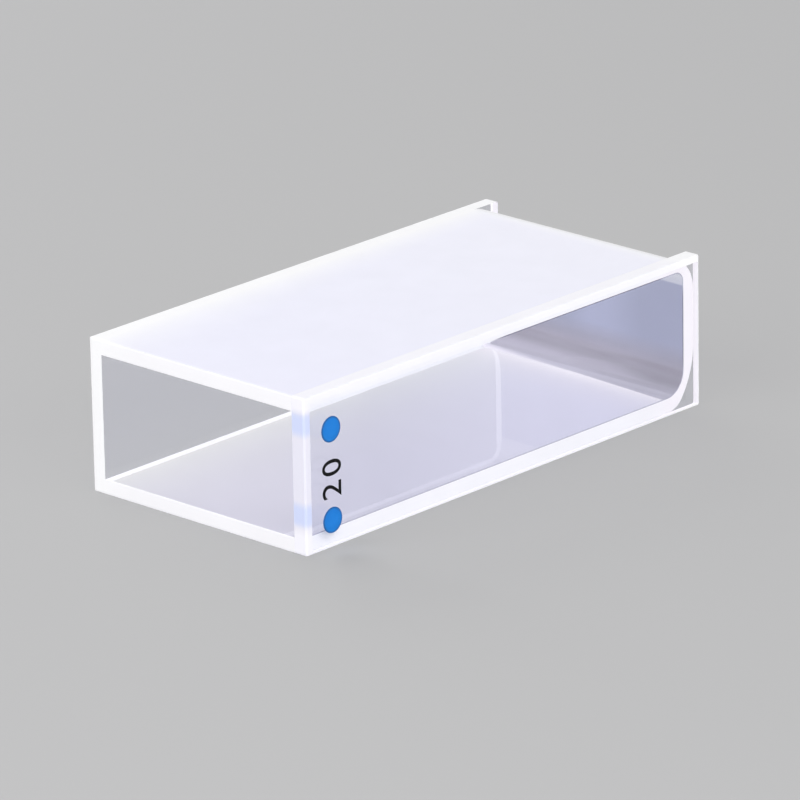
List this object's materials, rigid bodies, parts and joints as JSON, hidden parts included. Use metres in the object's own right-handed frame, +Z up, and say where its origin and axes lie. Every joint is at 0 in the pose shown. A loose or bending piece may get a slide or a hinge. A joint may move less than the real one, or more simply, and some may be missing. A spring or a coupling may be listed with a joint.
{
  "type": "spectrophotometer cuvette",
  "caption": "Rectangular quartz cell: a U-shaped frosted frame fused between polished windows, open at one end, with enamel orientation dots by the mouth.",
  "frame": {"origin": "middle of the frosted side the cell lies on, at the bottom centre of the bounding box", "axes": "+X along the light path, out of the window with the dots; +Y along the cell from its open mouth to its base; +Z up, across the width between the frosted sides"},
  "size_m": [0.0226, 0.045, 0.0125],
  "materials": {
    "frosted_quartz": "matte",
    "clear_quartz": "polished",
    "blue_enamel": "satin"
  },
  "bodies": {
    "root": {"frame": "frosted_quartz", "marked_window": "clear_quartz", "plain_window": "clear_quartz", "upper_dot": "blue_enamel", "lower_dot": "blue_enamel"}
  },
  "joints": []
}
